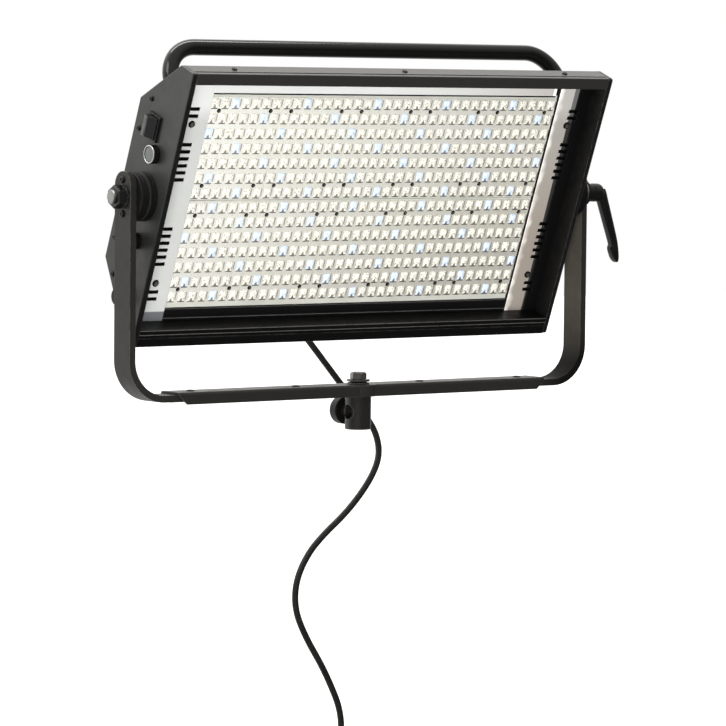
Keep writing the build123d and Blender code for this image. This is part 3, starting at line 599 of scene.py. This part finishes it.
# ------------------------------------------------------------------ strain relief boot
def lathe(profile, segs=40):
    """profile of (radius, height) mm about +Z, closed at both ends."""
    verts, faces = [], []
    for r, h in profile:
        for j in range(segs):
            a = 2 * math.pi * j / segs
            verts.append((r * math.cos(a), r * math.sin(a), h))
    m = len(profile)
    for i in range(m - 1):
        for j in range(segs):
            q = (j + 1) % segs
            faces.append((i * segs + j, i * segs + q, (i + 1) * segs + q, (i + 1) * segs + j))
    faces.append(tuple(range(segs - 1, -1, -1)))
    faces.append(tuple((m - 1) * segs + j for j in range(segs)))
    return verts, faces


prof = [(6.45, 13.2), (6.5, 14.0), (6.5, 15.6)]
h = 15.6
for n in range(7):
    r0 = 6.4 - 0.27 * n
    prof += [(r0, h + 0.1), (r0 - 1.15, h + 0.55), (r0 - 1.15, h + 1.25), (r0 - 0.12, h + 1.6), (r0 - 0.12, h + 2.7)]
    h += 2.9
prof += [(4.55, h + 0.3), (4.35, 37.2), (3.9, 38.0)]
v, f = lathe(prof)
boot = add_mesh("ribbed_boot", v, f, mats=[rubber.m])
gb = Matrix.Translation(lamp(3, 31, -104))
gdir = (HEAD.to_3x3() @ Vector((0, math.sqrt(0.5), -math.sqrt(0.5)))).normalized()
boot.data.transform(gb @ gdir.to_track_quat("Z", "Y").to_matrix().to_4x4() @ MM)
sub = boot.modifiers.new("soft", "SUBSURF")
sub.levels = sub.render_levels = 1
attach(boot, "head")
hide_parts("strain_relief_boot")

# ------------------------------------------------------------------ black edging under the upper reflector
def rounded_bar(name, x0, x1, y0, y1, z0, z1, r, body, mat):
    bm = bmesh.new()
    bmesh.ops.create_cube(bm, size=1.0)
    for q in bm.verts:
        q.co = Vector(((x0 + x1) / 2 + q.co.x * (x1 - x0), (y0 + y1) / 2 + q.co.y * (y1 - y0), (z0 + z1) / 2 + q.co.z * (z1 - z0)))
    bmesh.ops.bevel(bm, geom=list(bm.edges), offset=r, segments=3, affect="EDGES", profile=0.6)
    me = bpy.data.meshes.new(name)
    bm.to_mesh(me)
    bm.free()
    me.transform(HEAD @ MM)
    me.materials.append(mat)
    me.polygons.foreach_set("use_smooth", [True] * len(me.polygons))
    ob = bpy.data.objects.new(name, me)
    scene.collection.objects.link(ob)
    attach(ob, body)
    return ob


# ------------------------------------------------------------------ finishes for the CAD nodes
M = {}
plate_k = painted("powder_coat_grey", (0.026, 0.0272, 0.0245), 0.42, grain=1500, grain_mm=0.05, blotch=0.10, dust=0.12)
# painted shade: the end plates' inner faces are coloured near black for the shade the head casts on them
inner = plate_k.math("LESS_THAN", plate_k.math("ABSOLUTE", plate_k.xyz()[0]), 0.2846)
plate_c = plate_k.b.inputs["Base Color"].links[0].from_socket
plate_k.color(plate_k.mix(inner, plate_c, plate_k.mix(plate_k.remap(plate_k.noise(90.0), 0.3, 0.7, 0, 1), (0.004, 0.004, 0.004), (0.008, 0.0078, 0.0075))))
plate_all = plate_k.b.inputs["Base Color"].links[0].from_socket
# painted shade: the plates are coloured darker towards the bottom
plate_low_shade = plate_k.remap(plate_k.math("ADD", plate_k.xyz()[2], plate_k.math("MULTIPLY", plate_k.noise(14.0), 0.02)), 0.12, 0.25, 0.85, 0.0)
plate_all = plate_k.mix(plate_low_shade, plate_all, (0.005, 0.005, 0.005))
# painted highlight: a light grey line along the edges of the plates' inner faces
edge_lightening, _ = plate_k.edge(0.0007, 6.0)
edge_lightening = plate_k.math("MULTIPLY", edge_lightening, plate_k.remap(plate_k.noise(160.0, 3.0), 0.35, 0.6, 0.1, 1.0), clamp=True)
plate_k.color(plate_k.mix(plate_k.math("MULTIPLY", edge_lightening, inner), plate_all, (0.13, 0.128, 0.124)))
M["plate"] = plate_k.m
M["cover"] = painted("powder_coat_cover", (0.032, 0.0332, 0.030), 0.45, grain=1500, grain_mm=0.05, blotch=0.10, dust=0.2).m
M["bar"] = painted("bar_brown_black", (0.026, 0.0245, 0.0235), 0.34, grain=1800, grain_mm=0.02, blotch=0.12, wear=(0.16, 0.14, 0.12), dust=0.18).m
M["bottom"] = painted("bar_black", (0.0042, 0.0041, 0.0041), 0.4, grain=1800, grain_mm=0.008, blotch=0.14, spec=0.14, wear=(0.09, 0.085, 0.08)).m
M["face"] = painted("rail_black", (0.004, 0.004, 0.0042), 0.42, grain=1500, grain_mm=0.03).m
yk = painted("yoke_grey", (0.0185, 0.0178, 0.0163), 0.42, spec=0.27, grain=1400, grain_mm=0.04, wear=(0.19, 0.18, 0.16), dust=0.12)
yk_base = yk.b.inputs["Base Color"].links[0].from_socket
# painted shade: the right arm is coloured near black towards its bottom bend
yk_right = yk.remap(yk.xyz()[0], 0.24, 0.28, 0, 1)
yk_low_shaded = yk.mix(yk.math("MULTIPLY", yk_right, yk.remap(yk.xyz()[2], 0.105, 0.07, 0.0, 0.9)), yk_base, (0.0012, 0.001, 0.0009))
# painted light: the inside face of the right arm is coloured lighter towards the top
yk_in = yk.remap(yk.xyz(yk.tex_normal())[0], -0.6, -0.9, 0.0, 1.0)
yk_painted_light = yk.math("MULTIPLY", yk.math("MULTIPLY", yk_right, yk_in), yk.remap(yk.xyz()[2], 0.06, 0.14, 0.0, 1.0))
yk.color(yk.mix(yk_painted_light, yk_low_shaded, yk.mix(yk.remap(yk.noise(60.0), 0.3, 0.7, 0, 1), (0.072, 0.064, 0.052), (0.09, 0.081, 0.066))))
yk_rough = yk.b.inputs["Roughness"].links[0].from_socket
yk.rough(yk.math("ADD", yk_rough, yk.math("MULTIPLY", yk_right, yk.remap(yk.xyz()[2], 0.15, 0.11, 0.0, 0.42)), clamp=True))
M["yoke"] = yk.m
M["handle"] = painted("handle_black", (0.0062, 0.006, 0.0058), 0.11, grain=1300, grain_mm=0.003, orange=110, orange_mm=0.008, spec=0.32).m
M["receiver"] = painted("receiver_black", (0.0115, 0.0108, 0.0102), 0.3, grain=1200, grain_mm=0.05, spec=0.5, wear=(0.2, 0.19, 0.18), wear_gain=8.0).m
M["hub"] = plastic("hub_black", (0.0042, 0.0042, 0.0042), 0.42, spec=0.28).m
M["lever"] = plastic("lever_black", (0.0045, 0.0045, 0.0044), 0.36, grain=700, grain_mm=0.02, spec=0.3).m
rk = plastic("rocker_painted_lit_face", (0.010, 0.010, 0.010), 0.36, grain=1100, grain_mm=0.03)
rk_x = rk.xyz()[0]
# painted light: the rocker's outward face is coloured light grey for its lit side, and the rest stays black
rk_lit_face = rk.math("LESS_THAN", rk_x, -0.29495)
rk_base = rk.b.inputs["Base Color"].links[0].from_socket
rk.color(rk.mix(rk_lit_face, rk_base, rk.mix(rk.remap(rk.noise(160.0), 0.3, 0.7, 0, 1), (0.055, 0.055, 0.053), (0.085, 0.085, 0.082))))
M["rocker"] = rk.m
M["button"] = plastic("button_grey", (0.12, 0.132, 0.125), 0.46, grain=620, grain_mm=0.12, wear=(0.4, 0.42, 0.4)).m
M["steel"] = metal("zinc_steel", (0.36, 0.35, 0.33), 0.36, tarnish=(0.16, 0.14, 0.12)).m
M["swivel"] = metal("swivel_washer_steel", (0.2, 0.195, 0.185), 0.4, tarnish=(0.08, 0.075, 0.07), radius=0.0006).m
M["steel_dark"] = metal("dull_steel", (0.27, 0.262, 0.25), 0.42, tarnish=(0.12, 0.11, 0.10), radius=0.0008).m
M["nut"] = painted("nut_black_gloss", (0.006, 0.006, 0.006), 0.2, grain=1500, grain_mm=0.01, wear=(0.16, 0.155, 0.15), radius=0.0006).m
M["bolt_end"] = metal("bolt_turned_end", (0.33, 0.33, 0.325), 0.4, tarnish=(0.2, 0.19, 0.17)).m
M["chrome"] = metal("bright_nickel", (0.72, 0.71, 0.69), 0.16, scratch=0.1).m
M["screw_black"] = metal("black_oxide", (0.045, 0.043, 0.041), 0.4, tarnish=(0.02, 0.018, 0.016)).m
sb = metal("screw_zinc", (0.14, 0.13, 0.12), 0.34, tarnish=(0.07, 0.06, 0.055))
sb_out = sb.math("GREATER_THAN", sb.math("ABSOLUTE", sb.xyz()[0]), 0.2455)
sb_c = sb.b.inputs["Base Color"].links[0].from_socket
sb_n = sb.xyz(sb.tex_normal())
sb_flat = sb.math("ADD", sb.math("MULTIPLY", sb_n[1], -math.cos(math.radians(21.3))), sb.math("MULTIPLY", sb_n[2], -math.sin(math.radians(21.3))))
# painted highlight and shade: the flat tops of the face screws are coloured bright and their sloped rims near black,
# strongest on the strip screws
sb_rim_shade = sb.remap(sb_flat, 0.93, 0.985, 1, 0)
sb_strip_glint = sb.mix(sb_rim_shade, sb.mix(sb.remap(sb.noise(900.0), 0.3, 0.7, 0, 1), (0.7, 0.69, 0.67), (0.9, 0.89, 0.87)), (0.015, 0.015, 0.014))
sb_board_glint = sb.mix(sb_rim_shade, (0.62, 0.6, 0.56), (0.03, 0.028, 0.026))
sb.color(sb.mix(sb_out, sb.mix(0.85, sb_c, sb_board_glint), sb_strip_glint))
M["screw_bright"] = sb.m
M["washer"] = plastic("friction_washer", (0.02, 0.0195, 0.019), 0.5, grain=500).m
M["tie"] = plastic("tie_band", (0.03, 0.03, 0.03), 0.6, grain=900, grain_mm=0.15).m
M["slip"] = plastic("slip_washer", (0.10, 0.098, 0.092), 0.35, grain=500).m
M["sink"] = metal("anodised_sink", (0.34, 0.35, 0.36), 0.42, axis="Z", streak=0.2).m
M["case"] = metal("supply_case", (0.55, 0.56, 0.55), 0.4, axis="X", streak=0.15).m
M["white"] = plastic("board_white", lin(214, 214, 204), 0.4, grain=800, grain_mm=0.02).m
M["green"] = plastic("board_green", (0.02, 0.14, 0.06), 0.35, grain=800, grain_mm=0.02).m

refl = Mat("reflector_sheet")
lines = refl.noise(1.0, 2.0, 0.6, coord=refl.stretch((1500, 1500, 22)))
slow = refl.noise(7.0, 3.0, 0.5)
ox, oy, oz = refl.xyz()
# painted shade: the reflector is coloured darker and browner towards the right, most towards the bottom
refl_right_shade = refl.math("MULTIPLY", refl.remap(ox, 0.0, 0.24, 0, 1), refl.remap(oz, 0.40, 0.2, 0.45, 1))
c = refl.mix(refl_right_shade, lin(222, 224, 221), lin(176, 164, 152))
c = refl.mix(refl.remap(slow, 0.3, 0.7, 0, 0.25), c, lin(178, 178, 172))
c = refl.mix(refl.remap(lines, 0.35, 0.65, 0, 0.12), c, lin(130, 130, 126))
m, nrm = refl.edge(0.0005, 4.0)
c = refl.mix(m, c, lin(250, 250, 248))
# painted reflection: the bottom end of the left strip is coloured dark blue
left_end_reflection = refl.math("MULTIPLY", refl.remap(ox, -0.2, -0.22, 0, 1), refl.remap(oz, 0.1345, 0.1335, 0, 0.8))
c = refl.mix(left_end_reflection, c, lin(60, 66, 76))
# painted reflection: a near-black band along the right strip's outer edge, widening towards the top, for the dark wall
# reflected in it
right_wall_reflection = refl.math("ADD", ox, refl.math("MULTIPLY", refl.remap(oz, 0.14, 0.36, 0.0, 1.0), 0.0035))
c = refl.mix(refl.remap(right_wall_reflection, 0.2592, 0.2598, 0, 0.93), c, lin(22, 22, 24))
refl.color(c)
# painted light: the reflector glows in a mottled band beside the last lens column on the right, for the LED light
# thrown on the strip
caustic = refl.remap(refl.voronoi(95.0, "SMOOTH_F1"), 0.15, 0.6, 1.0, 0.0)
near = refl.math("ADD", ox, refl.math("MULTIPLY", caustic, -0.0045))
thrown = refl.math("MULTIPLY", refl.remap(near, 0.2335, 0.2405, 0.55, 0.0), refl.math("GREATER_THAN", ox, 0.225))
# painted light: the top reflector glows a little where the top bar shades it, less towards the right
top_glow = refl.remap(oz, 0.338, 0.356, 0.0, 0.24)
refl.link(refl.math("ADD", thrown, refl.math("MULTIPLY", top_glow, refl.remap(ox, 0.1, 0.24, 1, 0.5))), refl.b.inputs["Emission Strength"])
refl.set(Emission_Color=(1.0, 0.99, 0.96, 1))
refl.rough(refl.remap(lines, 0.3, 0.7, 0.32, 0.46))
refl.set(Metallic=0.0, Specular_IOR_Level=0.6)
refl.bump((slow, 0.2, 0.0006), (lines, 0.2, 0.00003), normal=nrm)
M["refl"] = refl.m
M["rubber"] = rubber.m

ASSIGN = {
    "plate": ["end_plate_left", "end_plate_right"],
    "cover": ["back_cover"],
    "bar": ["top_bar"],
    "bottom": ["bottom_bar"],
    "face": ["side_rails", "cross_rails", "led_tray"],
    "yoke": ["yoke_crossbar", "yoke_arm_left", "yoke_arm_right"],
    "handle": ["carry_handle", "handle_feet"],
    "receiver": ["stand_receiver"],
    "hub": ["pivot_hubs", "pivot_bosses", "pivot_cone_spacer", "receiver_lock_knob", "switch_bezel", "button_barrel",
            "dimmer_knob", "colour_knob", "control_pots", "cord_gland"],
    "rocker": ["power_rocker"],
    "button": ["power_button"],
    "lever": ["tilt_lever", "tilt_lever_cap"],
    "steel": ["pivot_washer_right", "handle_bolts", "panel_nuts", "receiver_lock_screw", "tilt_lock_insert",
              "pivot_stud_right"],
    "steel_dark": ["swivel_bolt"],
    "swivel": ["swivel_washers"],
    "nut": ["pivot_nut_left"],
    "bolt_end": ["pivot_bolt_left"],
    "chrome": ["button_ring", "plug_pins"],
    "screw_black": ["end_plate_screws", "cover_screws", "yoke_screws"],
    "screw_bright": ["face_screws"],
    "slip": ["swivel_slip_washer"],
    "washer": ["friction_washers"],
    "tie": ["cord_tie"],
    "sink": ["heat_sink", "cover_brackets"],
    "case": ["power_supply"],
    "white": ["led_boards"],
    "green": ["driver_board"],
    "refl": ["reflector_strips"],
    "rubber": ["cord_plug"],
}
for key, names in ASSIGN.items():
    for nm in names:
        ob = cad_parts[nm]
        for sl in ob.material_slots:
            sl.link = "OBJECT"
            sl.material = M[key]
missing = set(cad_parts) - {n for v in ASSIGN.values() for n in v}
print("UNASSIGNED", sorted(missing))

rounded_bar("upper_edging", -235.2, 229.0, -13.9, -12.2, 121.9, 123.55, 0.35, "head", M["face"])

# painted highlight: light grey beads along the rail step, the bottom bar's front top edge and its groove edge stand
# for the highlight lines on those edges
M["bead"] = painted("bead_painted_highlight", (0.10, 0.098, 0.094), 0.3, grain=1800, grain_mm=0.01, blotch=0.25).m
rounded_bar("rail_bead", -235.0, 247.5, -13.45, -12.6, -137.4, -136.55, 0.3, "head", M["bead"])
rounded_bar("bar_edge_bead", -278.6, 278.6, -38.3, -37.5, -140.35, -139.55, 0.3, "head", M["bead"])
rounded_bar("groove_bead", -278.6, 278.6, -38.35, -37.5, -145.3, -144.45, 0.3, "head", M["bead"])


# ------------------------------------------------------------------ ribbed pivot discs
def ring(profile, segs=72):
    """A closed profile of (radius, height) turned into a ring about +X, height along X, in mm."""
    verts, faces = [], []
    m = len(profile)
    for r, x in profile:
        for j in range(segs):
            a = 2 * math.pi * j / segs
            verts.append((x, r * math.cos(a), r * math.sin(a)))
    for i in range(m):
        for j in range(segs):
            q, n = (j + 1) % segs, (i + 1) % m
            faces.append((i * segs + j, n * segs + j, n * segs + q, i * segs + q))
    return verts, faces


def disc_profile(x0, x1, bore, rad, grooves):
    p = [(bore, x0), (rad - 1.4, x0), (rad - 0.45, x0 + 0.15), (rad, x0 + 0.7)]
    w = (x1 - x0 - 1.4) / grooves
    for n in range(grooves):
        a = x0 + 0.7 + n * w
        if n:
            p += [(rad, a), (rad - 0.1, a + 0.12), (rad - 0.75, a + 0.3), (rad - 0.75, a + 0.7), (rad - 0.1, a + 0.9), (rad, a + 1.05)]
    p += [(rad, x1 - 0.7), (rad - 0.45, x1 - 0.15), (rad - 1.4, x1), (bore, x1)]
    return p


def joined(parts):
    V, F = [], []
    for v, f in parts:
        off = len(V)
        V += list(v)
        F += [tuple(q + off for q in fc) for fc in f]
    return V, F


def turned(name, parts, body, mat, repl, angle=32):
    V, F = joined(parts)
    ob = add_mesh(name, [(x / 1000, y / 1000, z / 1000 + 0.2587) for x, y, z in V], F, mats=[mat])
    b = bmesh.new()
    b.from_mesh(ob.data)
    bmesh.ops.recalc_face_normals(b, faces=list(b.faces))
    b.to_mesh(ob.data)
    b.free()
    ob.data.set_sharp_from_angle(angle=math.radians(angle))
    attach(ob, body)
    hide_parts(*repl)
    return ob


turned("ribbed_hubs", [ring(disc_profile(295.0, 304.65, 5.2, 26.4, 4)), ring(disc_profile(-304.65, -295.0, 7.8, 26.4, 4))],
       "yoke", M["hub"], ["pivot_hubs"])
turned("ribbed_bosses", [ring(disc_profile(285.05, 293.0, 5.2, 26.4, 3)), ring(disc_profile(-293.0, -285.05, 7.8, 26.4, 3))],
       "head", M["hub"], ["pivot_bosses"])

# ------------------------------------------------------------------ tilt lever: ridged arm, round hub
STATIONS = [  # z, left x, right x, half thickness
    (263, 337.0, 348.8, 6.2), (258, 338.6, 350.8, 6.4), (251, 341.0, 352.8, 6.5), (238, 345.8, 356.9, 6.5), (224, 351.0, 361.3, 6.5),
    (210, 356.2, 365.7, 6.4), (201.5, 359.3, 368.0, 6.3), (198.6, 360.1, 368.5, 6.3), (196.4, 359.0, 368.9, 6.4),
    (194.4, 358.5, 369.3, 6.4), (190, 359.7, 369.9, 6.3), (185, 361.8, 370.3, 6.1), (181.4, 364.0, 370.3, 5.6), (179.2, 366.2, 370.0, 4.6), (178.1, 367.9, 369.5, 3.0)]


def lever_arm():
    V, F, n = [], [], 28
    for z, xl, xr, hy in STATIONS:
        cx, hx = (xl + xr) / 2, (xr - xl) / 2
        for j in range(n):
            a = 2 * math.pi * (j + 0.5) / n
            c, q = math.cos(a), math.sin(a)
            p = 4.2
            k = (abs(c) ** p + abs(q) ** p) ** (-1 / p)
            ridge = 0.8 * (1 - abs(c * k)) if abs(q) > 0.3 else 0.0
            V.append((cx + hx * c * k, (hy - 0.8 + ridge) * q * k, z - 258.7))
    for i in range(len(STATIONS) - 1):
        for j in range(n):
            q = (j + 1) % n
            F.append((i * n + j, i * n + q, (i + 1) * n + q, (i + 1) * n + j))
    F.append(tuple(range(n - 1, -1, -1)))
    F.append(tuple((len(STATIONS) - 1) * n + j for j in range(n)))
    return V, F


hub_prof = [(6.6, 341.1), (6.6, 326.2), (9.4, 326.2), (9.9, 326.5), (10.2, 327.2), (10.2, 329.6), (9.7, 329.9), (9.7, 330.5), (10.3, 330.8),
            (10.5, 331.6), (10.5, 338.6), (10.1, 340.6), (9.2, 342.4), (7.9, 343.7), (6.9, 344.1), (6.3, 344.0), (6.15, 343.7), (6.15, 342.2), (5.0, 341.8)]
turned("lever_body", [ring(hub_prof, 64), lever_arm()], "tilt_lever", M["lever"], ["tilt_lever"], angle=38)

# ------------------------------------------------------------------ floor, world and lights
floor_m = Mat("pale_floor")
fl = floor_m.noise(3.0, 3.0, 0.5)
floor_m.color(floor_m.mix(fl, (0.86, 0.86, 0.86), (0.9, 0.9, 0.9)))
floor_m.set(Emission_Color=(1, 1, 1, 1), Emission_Strength=0.55, Specular_IOR_Level=0.0, Roughness=0.9)
floor = add_mesh("floor", [(-14, -14, -0.75), (14, -14, -0.75), (14, 14, -0.75), (-14, 14, -0.75)], [(0, 1, 2, 3)], smooth=False, mats=[floor_m.m])
floor.visible_diffuse = floor.visible_glossy = False
floor.visible_shadow = False

world = bpy.data.worlds.new("studio")
scene.world = world
world.use_nodes = True
nt = world.node_tree
nt.nodes.clear()
wo = nt.nodes.new("ShaderNodeOutputWorld")
bg = nt.nodes.new("ShaderNodeBackground")
white = nt.nodes.new("ShaderNodeBackground")
white.inputs[0].default_value = (1, 1, 1, 1)
lp = nt.nodes.new("ShaderNodeLightPath")
mx = nt.nodes.new("ShaderNodeMixShader")
tc = nt.nodes.new("ShaderNodeTexCoord")
sep = nt.nodes.new("ShaderNodeSeparateXYZ")
nt.links.new(tc.outputs["Generated"], sep.inputs[0])


def wmap(sock, a, b, c, e):
    n = nt.nodes.new("ShaderNodeMapRange")
    n.interpolation_type = "SMOOTHSTEP"
    nt.links.new(sock, n.inputs["Value"])
    for k, x in (("From Min", a), ("From Max", b), ("To Min", c), ("To Max", e)):
        n.inputs[k].default_value = x
    return n.outputs[0]


def wadd(a, b):
    n = nt.nodes.new("ShaderNodeMath")
    nt.links.new(a, n.inputs[0])
    nt.links.new(b, n.inputs[1])
    return n.outputs[0]


total = wadd(wmap(sep.outputs[2], -0.1, 0.9, 0.10, 0.95), wmap(sep.outputs[1], 0.1, 0.75, 0.0, 0.95))
total = wadd(total, wmap(sep.outputs[0], -0.2, -0.9, 0.0, 0.12))
nt.links.new(total, bg.inputs["Strength"])
bg.inputs[0].default_value = (1.0, 0.985, 0.96, 1)
nt.links.new(lp.outputs["Is Camera Ray"], mx.inputs[0])
nt.links.new(bg.outputs[0], mx.inputs[1])
nt.links.new(white.outputs[0], mx.inputs[2])
nt.links.new(mx.outputs[0], wo.inputs[0])


def area(name, loc, target, size, power, color=(1, 1, 1)):
    li = bpy.data.lights.new(name, "AREA")
    li.shape = "RECTANGLE"
    li.size, li.size_y = size
    li.energy = power
    li.color = color
    ob = bpy.data.objects.new(name, li)
    scene.collection.objects.link(ob)
    ob.location = loc
    ob.rotation_euler = (Vector(target) - Vector(loc)).to_track_quat("-Z", "Y").to_euler()
    ob.visible_camera = False
    return ob


area("key", (-2.4, 0.2, 2.6), (0, 0, 0.2), (1.4, 1.4), 30)
fill = area("front_fill", (-2.3, -2.9, -0.75), (0, 0, 0.25), (2.2, 2.2), 165)
fill.visible_glossy = False
area("strip_above", (0.3, 0.5, 2.3), (0, 0, 0.3), (2.2, 0.35), 26)
scene.view_settings.view_transform = "Standard"
scene.view_settings.look = "None"
scene.view_settings.exposure = 0.0
scene.view_settings.gamma = 1.0
